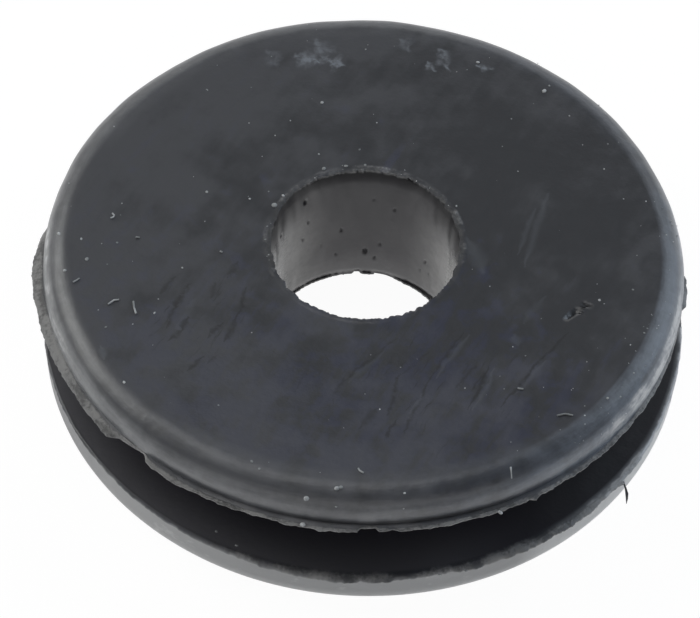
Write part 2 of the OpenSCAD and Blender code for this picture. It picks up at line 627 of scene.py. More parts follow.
bore_marks = []
for azimuth, z, radius in BORE_PITS:
    bore_marks.append((point_at(BORE_R, azimuth, z) * MM, point_at(1, azimuth), radius))
face_marks = []
for x, y, radius in FACE_DENTS:
    face_marks.append((Vector((x, y, HEIGHT)) * MM, Vector((0, 0, -1)), radius))
press(grommet_mesh, bore_marks, 4, PIT_DEPTH, True)
press(grommet_mesh, face_marks, 5, DENT_DEPTH, False)
triangles = sum(len(face.verts) - 2 for face in grommet_mesh.faces)
print(len(BORE_PITS), "pits and", len(FACE_DENTS), "dents; the grommet has", triangles, "triangles")

# %% [markdown]
# ## Where the rubber is torn
#
# Torn rubber is paler than its moulded skin, because its rough surface scatters light. The material has to
# know where that is, so each point keeps a number from 0 to 1 in an attribute. The outer part of each fin
# and the frayed lip are torn, by shares that change round the grommet. In front, the paleness of the lower
# fin runs a little way in over the edge as painted light, where light reaches the flange's rim.

# %% Mark torn places
FIN_PALE_FROM = [
    (0, -0.4), (205, -0.2), (228, 0.2), (245, 0.5), (295, 0.5), (315, 0.2), (340, -0.3),
]
LOWER_PALE = [
    (0, 0.2), (235, 0.2), (250, 0.5), (285, 0.5), (300, 0.7), (318, 0.7), (330, 0.3),
]
LIP_TORN = [
    (0, 0.3), (30, 0.35), (55, 0.2), (75, 0.25), (87, 0.6), (97, 0.45), (108, 0.15), (130, 0.25),
    (160, 0.3), (185, 0.3), (215, 0.15), (240, 0.0), (320, 0.0),
]


def torn_at(r, azimuth, z):
    if r > UPPER_R + 0.01 and UPPER_Z - 0.4 < z < UPPER_Z + FIN_T + 0.05:
        pale_from = between(FIN_PALE_FROM, azimuth)
        out = (r - UPPER_R) / max(between(UPPER_FIN, azimuth), 0.05)
        return smooth(pale_from, pale_from + 0.5, out)
    if z > HEIGHT - 0.1:
        return between(LIP_TORN, azimuth) * smooth(BORE_R + 0.3, BORE_R + 0.08, r)
    near_lower_fin = r > LOWER_R - 0.4 and LOWER_T - 0.35 < z < LOWER_T + 0.1
    if near_lower_fin and (r > LOWER_R + 0.01 or z > LOWER_T - 0.02):
        # In front the pale runs in over the lower flange's edge: painted light, where light gets past the
        # upper flange.
        in_front = smooth(240, 250, azimuth) * smooth(312, 300, azimuth)
        return between(LOWER_PALE, azimuth) * smooth(LOWER_R - 0.25 * in_front, LOWER_R + 0.15, r)
    return 0


def mark_places(bm, name, share_at):
    layer = bm.verts.layers.float.new(name)
    for vert in bm.verts:
        vert[layer] = share_at(radius_of(vert.co), azimuth_of(vert.co), vert.co.z / MM)
    return layer


torn_layer = mark_places(grommet_mesh, "torn", torn_at)
print("torn at", sum(vert[torn_layer] > 0 for vert in grommet_mesh.verts), "points")

# %% [markdown]
# ## Where light is painted
#
# The shoulders and rims get painted light: pale grey that stands in for the bright table and lamps they
# mirror, most of all on the left and right. On the upper flange there is a band on the crest of the
# shoulder and another at the rim. The lower flange's rim and its edge at the right are painted lighter too.
# The stops say how strongly, and a number above 1 means a painted highlight that is nearly white.

# %% Mark painted light
UPPER_PAINTED_LIGHT = [
    (0, 1.2), (12, 1.2), (25, 0.7), (60, 0.6), (120, 0.7), (160, 1.0), (175, 1.6), (200, 1.6),
    (210, 1.2), (225, 0.85), (240, 0.8), (262, 0.6), (285, 0.5), (300, 0.65), (315, 1.4), (330, 1.9),
    (350, 1.65),
]
LOWER_PAINTED_LIGHT = [
    (0, 2.4), (30, 1.0), (90, 0.6), (180, 0.6), (205, 0.4), (222, 1.3), (235, 1.4), (255, 1.35),
    (285, 1.35), (300, 1.3), (312, 2.4), (330, 2.6),
]


# Painted light on the upper flange: a band on the shoulder's crest and another at the rim.
def painted_light_above(r, azimuth):
    to_right = smooth(290, 325, azimuth) + smooth(40, 10, azimuth)
    to_left = smooth(150, 170, azimuth) * smooth(245, 215, azimuth)
    crest = smooth(UPPER_R - 1.3 + 0.35 * to_right + 0.4 * to_left, UPPER_R - 0.9 + 0.3 * to_left, r)
    crest *= 1 - 0.3 * to_right
    crest *= 1 + (1.5 * to_right - 0.5) * smooth(UPPER_R - 0.6, UPPER_R - 0.25, r)
    rim = smooth(UPPER_R - 0.4, UPPER_R - 0.1, r) * smooth(UPPER_R + 0.06, UPPER_R + 0.01, r)
    rim *= 1 + 0.2 * (smooth(338, 350, azimuth) + smooth(20, 8, azimuth))
    return between(UPPER_PAINTED_LIGHT, azimuth) * max((0.5 - 0.1 * to_right) * crest, rim)


# Painted light on the lower flange's rim, and on its edge at the right.
def painted_light_below(r, azimuth, z):
    rim = smooth(LOWER_R - SHOULDER_R - 0.3, LOWER_R - 0.5, r) * smooth(LOWER_T, LOWER_T - 0.25, z)
    lit_edge = smooth(LOWER_R - 0.16, LOWER_R + 0.08, r) * smooth(298, 322, azimuth) * (z > LOWER_T - 0.3)
    return between(LOWER_PAINTED_LIGHT, azimuth) * max(rim, lit_edge)


def painted_light_at(r, azimuth, z):
    if z > UPPER_Z + 0.01:
        return painted_light_above(r, azimuth)
    if r < LOWER_R - SHOULDER_R - 0.4:
        return 0
    return painted_light_below(r, azimuth, z)


painted_light_layer = mark_places(grommet_mesh, "rubbed", painted_light_at)
print("rubbed at", sum(vert[painted_light_layer] > 0 for vert in grommet_mesh.verts), "points")

# %% [markdown]
# ## Where shade is painted
#
# Painted shade darkens the colour where shade falls: the crease behind the upper fin in front, the lower
# flange's upper side at the front right, under the upper flange, the undercut below the upper lip, the lip
# and the upper part of the bore at its two sides, and the pits and the gouge. The very foot of the bore is a
# little darker too, except where it is chipped.

# %% Mark painted shade
PIT_PAINTED_SHADE = 0.9
GOUGE_PAINTED_SHADE = 0.8


# Painted shade, from 0 to 1, where shade falls in creases, corners and hollows.
def painted_shade_at(r, azimuth, z):
    place = point_at(r, azimuth)
    if abs(z - UPPER_Z - FIN_T) < 0.15 and r > UPPER_R - 0.01:
        in_front = smooth(246, 264, azimuth) * smooth(306, 286, azimuth)
        return 0.75 * in_front * smooth(UPPER_R + 0.15, UPPER_R, r)
    if r > HUB_R and abs(z - LOWER_T) < 0.35:
        to_right = smooth(295, 315, azimuth) * (z > LOWER_T - 0.01)
        return 0.6 * to_right * smooth(LOWER_R - 0.05, LOWER_R - 0.35, r)
    if r > BORE_R + UNDERCUT * 3:
        return 0
    at_side = smooth(2.0, 3.3, abs(place.x))
    if z > HEIGHT - LIP_T + 0.005:
        return 0.6 * at_side * smooth(BORE_R + 0.1, BORE_R - 0.04, r) * (place.y > -1.5)
    upper = max(0.8 * under_lip(z), 0.65 * at_side * smooth(HEIGHT - 2.3, HEIGHT - 0.9, z))
    chipped = smooth(74, 77, azimuth) * smooth(86, 84, azimuth)
    # A little darker at the very foot of the bore, except where it is chipped.
    foot = 0.1 * smooth(0.14, 0.1, z) * (1 - chipped) * (r < BORE_R + 0.05)
    return max(upper, foot)


def mark_pits(bm, layer, marks, most, on_bore):
    points = tree_of_points(bm)
    for place, _, radius in marks:
        for _, index, _ in points.find_range(place, radius * 1.1 * MM):
            vert = bm.verts[index]
            share = most * (1 - smooth(0.3, 1.0, reach_of(vert, place, on_bore) / radius))
            vert[layer] = max(vert[layer], share)


painted_shade_layer = mark_places(grommet_mesh, "dirt", painted_shade_at)
mark_pits(grommet_mesh, painted_shade_layer, bore_marks, PIT_PAINTED_SHADE, True)
mark_pits(grommet_mesh, painted_shade_layer, face_marks, GOUGE_PAINTED_SHADE, False)
print("darkened at", sum(vert[painted_shade_layer] > 0 for vert in grommet_mesh.verts), "points")

# %% [markdown]
# ## The finished mesh
#
# The mesh goes into an object that stands for the CAD node. It is shaded smooth, apart from edges that
# turn by more than about 50 degrees, such as those of the fins.

# %% Make the grommet object
SHARP_ANGLE = 50


def object_from(bm, name):
    mesh = bpy.data.meshes.new(name)
    bm.to_mesh(mesh)
    bm.free()
    mesh.shade_smooth()
    mesh.set_sharp_from_angle(angle=math.radians(SHARP_ANGLE))
    made = bpy.data.objects.new(name, mesh)
    bpy.context.scene.collection.objects.link(made)
    return made


grommet = object_from(grommet_mesh, "moulded_grommet")
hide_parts("grommet")
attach(grommet, "root")
print(grommet.name, "measures", [round(side / MM, 2) for side in grommet.dimensions], "mm")

# %% [markdown]
# ## Helpers for materials
#
# A material is a tree of nodes. These helpers keep the trees short to write: one adds a node with its
# values, and the others join values with arithmetic. A value is either a number or another node's output.

# %% Node helpers
def plug(tree, socket, value):
    if isinstance(value, bpy.types.NodeSocket):
        tree.links.new(value, socket)
    else:
        socket.default_value = value


def add_node(tree, kind, settings=None, **values):
    node = tree.nodes.new("ShaderNode" + kind)
    for name, value in (settings or {}).items():
        setattr(node, name, value)
    for name, value in values.items():
        plug(tree, node.inputs[name.replace("_", " ")], value)
    return node


def arithmetic(tree, operation, *values):
    node = add_node(tree, "Math", {"operation": operation})
    for socket, value in zip(node.inputs, values):
        plug(tree, socket, value)
    return node.outputs[0]


def combined(tree, operation, values):
    result = values[0]
    for value in values[1:]:
        result = arithmetic(tree, operation, result, value)
    return result


def product(tree, *values):
    return combined(tree, "MULTIPLY", values)


def total(tree, *values):
    return combined(tree, "ADD", values)


def strongest(tree, *values):
    return combined(tree, "MAXIMUM", values)


def vector_arithmetic(tree, operation, *values):
    node = add_node(tree, "VectorMath", {"operation": operation})
    for socket, value in zip(node.inputs, values):
        plug(tree, socket, value)
    return node.outputs["Value" if operation in ("LENGTH", "DOT_PRODUCT", "DISTANCE") else "Vector"]


def spread(tree, value, low, high, to_low=0.0, to_high=1.0):
    """Maps low..high smoothly on to to_low..to_high, and stays there outside that range."""
    node = add_node(tree, "MapRange", {"interpolation_type": "SMOOTHSTEP"}, Value=value)
    for name, number in (("From Min", low), ("From Max", high), ("To Min", to_low), ("To Max", to_high)):
        plug(tree, node.inputs[name], number)
    return node.outputs["Result"]


def blend_colours(tree, share, first, second):
    node = add_node(tree, "Mix", {"data_type": "RGBA"})
    plug(tree, node.inputs["Factor"], share)
    plug(tree, node.inputs[6], first)
    plug(tree, node.inputs[7], second)
    return node.outputs[2]


print("node helpers ready")

# %% [markdown]
# ## Places and patterns
#
# Every pattern reads the object's own coordinates, in mm, so that it stays put when the object moves. A
# place can be stretched into streaks, or shaken by a noise, so that what is drawn there looks frayed.

# %% Places and patterns
def place_in_mm(tree):
    coordinates = add_node(tree, "TexCoord").outputs["Object"]
    return vector_arithmetic(tree, "MULTIPLY", coordinates, (1 / MM, 1 / MM, 1 / MM))


def noise_at(tree, place, scale, detail=2.0, roughness=0.5):
    node = add_node(tree, "TexNoise", Vector=place, Scale=scale, Detail=detail, Roughness=roughness)
    return node.outputs["Fac"]


def streaked(tree, place, direction, length, width):
    """A place for a pattern of streaks that run in a direction, in degrees from +X."""
    mapping = add_node(tree, "Mapping", {"vector_type": "TEXTURE"}, Vector=place, Scale=(length, width, 1.0))
    mapping.inputs["Rotation"].default_value = (0, 0, math.radians(direction))
    return mapping.outputs["Vector"]


def shaken(tree, place, scale, detail, reach):
    """A place that is moved about in X and Y, by up to half of reach in mm."""
    cloud = add_node(tree, "TexNoise", Vector=place, Scale=scale, Detail=detail).outputs["Color"]
    moved = vector_arithmetic(tree, "MULTIPLY_ADD", cloud, (reach, reach, 0.0), place)
    return vector_arithmetic(tree, "SUBTRACT", moved, (reach / 2, reach / 2, 0.0))


def attribute_value(tree, name):
    return add_node(tree, "Attribute", {"attribute_name": name}).outputs["Fac"]


print("pattern helpers ready")

# %% [markdown]
# ## A stroke as a node group
#
# Scratches, smears and scuffs are all strokes between two places, thin or wide. A stroke is needed many
# times with other values, so it is a group that is built once. It puts out a mask from 0 to 1, from the
# distance between the point and the line from start to end. A stroke tapers at its ends and has a soft
# edge.

# %% Stroke group
def new_group(name, inputs, outputs):
    group = bpy.data.node_groups.new(name, "ShaderNodeTree")
    for way, sockets in (("INPUT", inputs), ("OUTPUT", outputs)):
        for kind, socket_name in sockets:
            group.interface.new_socket(name=socket_name, in_out=way, socket_type="NodeSocket" + kind)
    start = group.nodes.new("NodeGroupInput")
    end = group.nodes.new("NodeGroupOutput")
    return group, start.outputs, end.inputs


def build_stroke_group():
    inputs = [("Vector", "Place"), ("Vector", "Start"), ("Vector", "End"), ("Float", "Width")]
    group, given, result = new_group("stroke", inputs, [("Float", "Mask")])
    along = vector_arithmetic(group, "SUBTRACT", given["End"], given["Start"])
    offset = vector_arithmetic(group, "SUBTRACT", given["Place"], given["Start"])
    length_squared = vector_arithmetic(group, "DOT_PRODUCT", along, along)
    projected = vector_arithmetic(group, "DOT_PRODUCT", offset, along)
    share = arithmetic(group, "DIVIDE", projected, length_squared)
    share = arithmetic(group, "MINIMUM", arithmetic(group, "MAXIMUM", share, 0.0), 1.0)
    scaled = add_node(group, "VectorMath", {"operation": "SCALE"})
    plug(group, scaled.inputs[0], along)
    plug(group, scaled.inputs["Scale"], share)
    aside = vector_arithmetic(group, "DISTANCE", offset, scaled.outputs[0])
    from_middle = arithmetic(group, "ABSOLUTE", arithmetic(group, "SUBTRACT", share, 0.5))
    taper = spread(group, from_middle, 0.15, 0.5, 1.0, 0.3)
    edge = arithmetic(group, "DIVIDE", aside, product(group, given["Width"], taper))
    plug(group, result["Mask"], spread(group, edge, 0.0, 1.0, 1.0, 0.0))
    return group


stroke_group = build_stroke_group()


def strokes_on_face(tree, place, strokes):
    """The strongest of many strokes, each given as start, end, width and strength, in mm on the face."""
    masks = []
    for start, end, width, strength in strokes:
        node = add_node(tree, "Group", {"node_tree": stroke_group}, Place=place, Width=width)
        plug(tree, node.inputs["Start"], (*start, HEIGHT))
        plug(tree, node.inputs["End"], (*end, HEIGHT))
        masks.append(product(tree, node.outputs["Mask"], strength))
    return strongest(tree, *masks)


print("group:", stroke_group.name, "with", len(stroke_group.nodes), "nodes")

# %% [markdown]
# ## Marks on the face
#
# Grommets are tumbled and handled in bulk, so the face has slanting scuffs and scratches, chalky smears
# near the far rim and a dull scuff beside the bore. Each is written as start, end, width and strength.
# Many finer scratches come from a noise that is stretched along them, and most of those lie in two worn
# places, each given as its middle and its reach.

# %% Marks
SCRATCHES = [
    ((3.9, -4.2), (2.7, -6.5), 0.12, 0.7), ((2.7, -6.5), (1.8, -9.2), 0.16, 0.7),
    ((1.4, -4.6), (-0.7, -7.0), 0.12, 0.6), ((-0.6, -6.7), (-0.9, -7.9), 0.14, 0.5),
    ((2.6, -5.2), (1.6, -6.4), 0.14, 0.4), ((1.6, -6.3), (1.1, -8.3), 0.18, 0.7),
    ((0.8, -8.0), (0.1, -9.0), 0.2, 0.6), ((4.9, -5.8), (4.2, -7.9), 0.12, 0.7),
    ((7.9, -4.0), (6.5, -5.9), 0.11, 0.7), ((6.9, -5.4), (5.4, -7.7), 0.14, 0.8),
    ((4.5, -5.6), (3.6, -7.0), 0.13, 0.5), ((1.5, -8.5), (1.1, -9.5), 0.13, 0.8),
    ((-1.8, -5.7), (-2.3, -7.5), 0.14, 0.4), ((-6.7, -2.5), (-7.1, -3.6), 0.22, 0.8),
    ((-7.0, -3.1), (-7.1, -3.7), 0.34, 0.9), ((-7.1, -3.6), (-7.4, -4.7), 0.2, 0.7),
    ((-6.6, -4.1), (-6.8, -4.7), 0.2, 0.8), ((-6.8, -4.7), (-7.3, -5.3), 0.2, 0.8),
    ((-4.5, -2.5), (-4.7, -4.0), 0.18, 0.7), ((-4.7, -4.0), (-5.1, -5.2), 0.2, 0.8),
    ((-5.7, -2.4), (-5.8, -3.1), 0.24, 0.6), ((-7.2, -2.1), (-7.8, -3.0), 0.2, 0.7),
    ((-5.3, -4.4), (-5.8, -5.0), 0.2, 0.8), ((-4.8, -1.3), (-5.2, -2.1), 0.24, 0.7),
    ((-5.9, -6.0), (-6.5, -6.7), 0.18, 0.8), ((-5.4, -5.9), (-5.7, -6.4), 0.16, 0.5),
    ((7.75, -3.35), (8.15, -2.95), 0.18, 1.0), ((8.3, -2.8), (8.7, -2.5), 0.14, 1.0),
]
SCUFFS = [
    ((7.1, 3.0), (6.2, -0.8), 0.26, 0.5), ((3.9, 0.5), (4.7, -1.2), 0.5, 0.6),
    ((5.9, -4.2), (6.0, -4.7), 0.35, 0.6), ((4.1, -4.3), (2.9, -6.5), 0.18, 0.6),
    ((6.6, 2.2), (5.9, -0.2), 0.18, 0.5), ((5.1, -5.9), (4.4, -7.9), 0.16, 0.6),
    ((-9.8, -5.7), (-9.7, -6.4), 0.22, 0.9), ((7.1, -5.4), (5.9, -7.1), 0.15, 0.5),
    ((0.9, -5.3), (-0.4, -6.9), 0.2, 0.4), ((2.4, -7.2), (2.0, -8.4), 0.18, 0.5),
    ((7.0, -2.2), (6.2, -3.6), 0.25, 0.4), ((-6.4, -3.2), (-7.1, -5.2), 0.25, 0.25),
]
SMEARS = [
    ((-3.2, 9.75), (-2.2, 9.35), 0.75, 0.75), ((-2.75, 9.5), (-2.2, 9.3), 0.4, 1.1),
    ((-2.15, 9.6), (-1.85, 9.5), 0.6, 0.75), ((-1.75, 9.5), (-1.3, 9.35), 0.65, 0.95),
    ((-2.4, 10.5), (-2.0, 9.7), 0.8, 0.6), ((-1.95, 10.3), (-1.7, 10.0), 0.7, 0.5),
    ((-4.3, 9.8), (-3.9, 9.2), 0.6, 0.4), ((1.0, 10.9), (1.5, 10.3), 0.6, 0.5),
    ((2.15, 9.6), (2.4, 9.25), 0.36, 0.75), ((2.7, 10.4), (3.0, 9.4), 0.5, 0.7),
    ((2.93, 9.47), (2.98, 9.38), 0.22, 1.1), ((4.3, 9.6), (4.75, 9.5), 0.36, 1.0),
]
WORN_PLACES = [((-6.2, -3.9), 2.8), ((3.2, -6.6), 4.6)]
SCRATCH_DIRECTION = 62


def worn_mask(tree, place):
    """1 in the middle of each worn place and 0 outside it."""
    masks = []
    for middle, reach in WORN_PLACES:
        away = vector_arithmetic(tree, "DISTANCE", place, (*middle, HEIGHT))
        masks.append(spread(tree, away, 0.35 * reach, reach, 1.0, 0.0))
    return strongest(tree, *masks)


def scratch_mask(tree, place):
    large = strokes_on_face(tree, shaken(tree, place, 5.0, 2.0, 0.2), SCRATCHES)
    broken = spread(tree, noise_at(tree, place, 3.2, 2.0), 0.28, 0.5)
    fine = noise_at(tree, streaked(tree, place, SCRATCH_DIRECTION, 1.2, 0.14), 1.0, 3.0, 0.6)
    weight = arithmetic(tree, "MULTIPLY_ADD", worn_mask(tree, place), 0.8, 0.12)
    fine = product(tree, spread(tree, fine, 0.57, 0.78), weight)
    return strongest(tree, product(tree, large, broken), fine)


print(len(SCRATCHES), "scratches,", len(SCUFFS), "scuffs,", len(SMEARS), "smears")

# %% [markdown]
# ## The rubber's skin
#
# Moulded rubber is a cool, very dark grey with a satin skin. Some of its wax and sulphur creeps to the
# surface in time, as a thin grey bloom that is thicker toward the rim and on the left, and parts of it
# look blue. All of that is noise of a few sizes, read at the point's place, so the place, the distance
# from the axis and the patterns are worked out once and passed on. Colours are linear, as Blender's are.

# %% Skin and bloom
SKIN = (0.048, 0.051, 0.059, 1)
SKIN_BLUE = (0.046, 0.052, 0.088, 1)
BLOOM = (0.112, 0.117, 0.133, 1)
BLOOM_SHARE = 0.5


def measure_surface(tree):
    """What the rubber's nodes need to know about a point."""
    place = place_in_mm(tree)
    axes = add_node(tree, "SeparateXYZ", Vector=place).outputs
    return SimpleNamespace(
        place=place, x=axes["X"], y=axes["Y"], z=axes["Z"],
        radius=vector_arithmetic(tree, "LENGTH", vector_arithmetic(tree, "MULTIPLY", place, (1.0, 1.0, 0.0))),
        grain=noise_at(tree, place, 7.0, 3.0, 0.6),
        patches=noise_at(tree, place, 0.3, 3.0, 0.55),
        small_patches=noise_at(tree, place, 1.1, 3.0, 0.6),
        wiped=noise_at(tree, streaked(tree, place, SCRATCH_DIRECTION, 2.6, 0.7), 1.0, 4.0, 0.62),
    )


def blue_share(tree, here):
    toward_front = spread(tree, here.y, 5.0, -8.0, -0.1, 0.06)
    rightward = arithmetic(tree, "MULTIPLY_ADD", here.y, 0.6, here.x)
    blue = total(tree, toward_front, spread(tree, rightward, 3.0, 7.0, 0.0, -0.14))
    blue = total(tree, blue, strongest(tree, here.small_patches, here.wiped))
    return product(tree, spread(tree, blue, 0.5, 0.66), spread(tree, here.radius, 11.6, 10.8, 0.3, 1.0))


def bloom_share(tree, here):
    toward_rim = spread(tree, here.radius, 3.5, 12.0, -0.04, 0.16)
    toward_left = spread(tree, here.x, -11.0, 10.0, 0.12, -0.2)
    bloom = total(tree, here.patches, toward_rim, toward_left)
    mottle = arithmetic(tree, "SUBTRACT", total(tree, here.wiped, here.small_patches), 1.0)
    return spread(tree, arithmetic(tree, "MULTIPLY_ADD", mottle, 0.6, bloom), 0.28, 0.75)


def skin_colour(tree, here):
    skin = blend_colours(tree, blue_share(tree, here), SKIN, SKIN_BLUE)
    return blend_colours(tree, product(tree, here.bloom, BLOOM_SHARE), skin, BLOOM)


rubber = bpy.data.materials.new("black_rubber")
rubber.use_nodes = True
tree = rubber.node_tree
shader = tree.nodes["Principled BSDF"]
here = measure_surface(tree)
here.bloom = bloom_share(tree, here)
colour = skin_colour(tree, here)
print("skin and bloom take", len(tree.nodes), "nodes")

# %% [markdown]
# ## Chalk and scratches in the skin
#
# Chalk from handling lies on the face as pale, cloudy smears and fainter scuffs, and the scratches cut
# through it to dark rubber. All of them are drawn at shaken places, so that no mark has a ruled edge. The
# scratches and scuffs are colour alone, since they are too shallow to show as relief, and the smears are
# kept for later, because chalk makes the rubber less glossy too.

# %% Chalk and scratches
CHALK = (0.25, 0.28, 0.32, 1)
SCRATCH_DARK = (0.016, 0.017, 0.020, 1)
SCUFF_STRENGTH = 0.28
SCRATCH_STRENGTH = 0.85
SMEAR_FALLOFF = 1.4
SMEAR_MOST = 0.9


def smear_mask(tree, here):
    cloudy = spread(tree, noise_at(tree, here.place, 3.4, 4.0, 0.6), 0.32, 0.68, 0.15, 1.3)
    smears = strokes_on_face(tree, shaken(tree, here.place, 1.7, 2.0, 0.8), SMEARS)
    smears = arithmetic(tree, "POWER", smears, SMEAR_FALLOFF)
    return arithmetic(tree, "MINIMUM", product(tree, smears, cloudy), SMEAR_MOST)


def marked_colour(tree, here, colour):
    bent = shaken(tree, here.place, 1.1, 3.0, 0.4)
    scratches = product(tree, scratch_mask(tree, bent), SCRATCH_STRENGTH)
    scuffs = product(tree, strokes_on_face(tree, bent, SCUFFS), SCUFF_STRENGTH)
    colour = blend_colours(tree, strongest(tree, scuffs, here.smears), colour, CHALK)
    return blend_colours(tree, scratches, colour, SCRATCH_DARK)


here.smears = smear_mask(tree, here)
colour = marked_colour(tree, here, colour)
print("with the marks there are", len(tree.nodes), "nodes")

# %% [markdown]
# ## The groove
#
# The lower flange's upper side, in the groove, has a darker skin than the face: partly a skin with no chalk
# or bloom on it, partly painted shade under the upper flange. It is painted lighter toward its rim, where
# light reaches in, and much less so on the right.

# %% Groove
GROOVE_SKIN_AND_SHADE = (0.032, 0.030, 0.040, 1)
GROOVE_PAINTED_LIGHT = (0.13, 0.13, 0.145, 1)


def groove_mask(tree, here):
    above_flange = spread(tree, here.z, LOWER_T - 0.03, LOWER_T - 0.005)
    below_flange = spread(tree, here.z, UPPER_Z + 0.03, UPPER_Z + 0.005)
    within_rim = spread(tree, here.radius, LOWER_R + 0.05, LOWER_R - 0.15)
    return product(tree, above_flange, below_flange, within_rim)


# Painted shade in the groove, and painted light toward its rim, weaker on the right.
def groove_shade_and_light(tree, here):
    weight = spread(tree, here.radius, 10.2, 12.8)
    weight = product(tree, weight, spread(tree, here.x, 7.0, 3.0, 0.2, 1.0))
    return blend_colours(tree, weight, GROOVE_SKIN_AND_SHADE, GROOVE_PAINTED_LIGHT)


here.in_groove = groove_mask(tree, here)
colour = blend_colours(tree, here.in_groove, colour, groove_shade_and_light(tree, here))
print("with the groove there are", len(tree.nodes), "nodes")

# %% [markdown]
# ## Painted light on shoulders and rims
#
# The attribute marked above says where light is painted. Streaks that run round the rim break it up on the
# upper flange, and the lower one's rim is painted more evenly. The painted light is grey on the left and
# bluish on the upper right, after the bluish lamp there, and turns nearly white where it is strongest.

# %% Painted light on shoulders and rims
PAINTED_LIGHT_LEFT = (0.31, 0.32, 0.335, 1)
PAINTED_LIGHT_BLUISH = (0.27, 0.305, 0.36, 1)
PAINTED_LIGHT_WHITE = (0.85, 0.86, 0.87, 1)
RIM_STREAK = 2.0
RIM_STREAK_WIDTH = 0.45
PAINTED_LIGHT_SHARE = 0.9
PAINTED_LIGHT_MOST = 0.95


def along_rim(tree, here, length, width):
    """A place for streaks that run round the rim, about length mm long and width mm wide."""
    outward = vector_arithmetic(tree, "MULTIPLY", here.place, (1.0, 1.0, 0.0))
    outward = vector_arithmetic(tree, "NORMALIZE", outward)
    outward = vector_arithmetic(tree, "MULTIPLY", outward, (UPPER_R / length, UPPER_R / length, 0.0))
    across = arithmetic(tree, "DIVIDE", arithmetic(tree, "SUBTRACT", here.radius, here.z), width)
    return vector_arithmetic(tree, "ADD", outward, add_node(tree, "CombineXYZ", Z=across).outputs[0])


def painted_light_share(tree, here):
    shaded = spread(tree, total(tree, here.small_patches, here.streaks), 0.65, 1.35, 0.4, 1.15)
    even_rim = spread(tree, here.z, LOWER_T + 0.1, LOWER_T - 0.1)
    return product(tree, attribute_value(tree, "rubbed"), strongest(tree, shaded, even_rim))


# Painted light: a grey, bluish on the right, that turns white where it is strongest.
def painted_light_colour(tree, here, colour):
    rubbed = painted_light_share(tree, here)
    toward_bluish = product(tree, spread(tree, here.x, 0.0, 8.0), spread(tree, here.z, 2.0, 4.0))
    lit_colour = blend_colours(tree, toward_bluish, PAINTED_LIGHT_LEFT, PAINTED_LIGHT_BLUISH)
    lit_colour = blend_colours(tree, spread(tree, rubbed, 1.0, 2.0), lit_colour, PAINTED_LIGHT_WHITE)
    share = arithmetic(tree, "MINIMUM", product(tree, rubbed, PAINTED_LIGHT_SHARE), PAINTED_LIGHT_MOST)
    return blend_colours(tree, share, colour, lit_colour)


here.streaks = noise_at(tree, along_rim(tree, here, RIM_STREAK, RIM_STREAK_WIDTH), 1.0, 4.0, 0.65)
colour = painted_light_colour(tree, here, colour)
print("with the painted_rim_light there are", len(tree.nodes), "nodes")

# %% [markdown]
# ## The bore's wall
#
# The wall is painted lighter low down and in patches at its two sides, which stands in for the white table
# that it mirrors through the hole, and it is left dark high up in the middle as painted shade. The wall is
# glossiest there and dullest in the middle of its upper part.

# %% Bore's wall
BORE_SKIN = (0.045, 0.043, 0.052, 1)
BORE_PAINTED_LIGHT = (0.084, 0.081, 0.090, 1)
BORE_PAINTED_REFLECTION = (0.75, 0.74, 0.73, 1)


def bore_mask(tree, here):
    inside = spread(tree, here.radius, BORE_R + 0.6, BORE_R + 0.4)
    below_lip = spread(tree, here.z, HEIGHT - LIP_T, HEIGHT - LIP_T - 0.06)
    above_foot = spread(tree, here.z, 0.0, 0.05)
    return product(tree, below_lip, above_foot, inside)


def sides_mask(tree, here):
    """0 in the middle of the far wall and of the near one, and 1 at the bore's left and right."""
    aside = arithmetic(tree, "ABSOLUTE", arithmetic(tree, "SUBTRACT", here.x, 0.1))
    return spread(tree, aside, 1.1, 3.6)


# Painted light low down and at the sides for the mirrored white table, and painted shade high in the middle.
def wall_colour(tree, here):
    low_down = spread(tree, here.z, 5.0, 2.6)
    blotches = spread(tree, here.small_patches, 0.3, 0.65, 0.4, 1.0)
    reflected = product(tree, here.at_sides, low_down, here.at_sides, blotches)
    lit_places = strongest(tree, here.at_sides, spread(tree, here.z, 4.0, 0.5))
    below_top = spread(tree, here.z, 6.0, 4.8)
    lit_share = product(tree, spread(tree, here.small_patches, 0.35, 0.65), lit_places, below_top)
    wall = blend_colours(tree, lit_share, BORE_SKIN, BORE_PAINTED_LIGHT)
    return blend_colours(tree, reflected, wall, BORE_PAINTED_REFLECTION)


here.in_bore = bore_mask(tree, here)
here.at_sides = sides_mask(tree, here)
colour = blend_colours(tree, here.in_bore, colour, wall_colour(tree, here))
print("with the bore there are", len(tree.nodes), "nodes")

# %% [markdown]
# ## Torn flash and painted shade
#
# Where the flash was torn, and round the frayed mouth of the bore, the rubber is rough and pale, with
# brighter flecks at the mouth. The torn attribute changes slowly, so noise is added to it before it is
# cut off, which leaves a ragged border. Painted shade goes over everything else.

# %% Torn rubber and painted shade
TORN_DARK = (0.12, 0.12, 0.122, 1)
TORN_PALE = (0.36, 0.36, 0.36, 1)
TORN_FLECK = (0.5, 0.5, 0.5, 1)
TORN_SHARE = 0.85
PAINTED_SHADE = (0.012, 0.012, 0.014, 1)


def less_half(tree, value):
    """A noise from 0 to 1, made to swing about 0."""
    return arithmetic(tree, "SUBTRACT", value, 0.5)


def ragged_mask(tree, here):
    torn = attribute_value(tree, "torn")
    ragged = arithmetic(tree, "MULTIPLY_ADD", less_half(tree, here.uneven), 1.3, torn)
    return product(tree, spread(tree, ragged, 0.15, 0.9), spread(tree, torn, 0.0, 0.25))


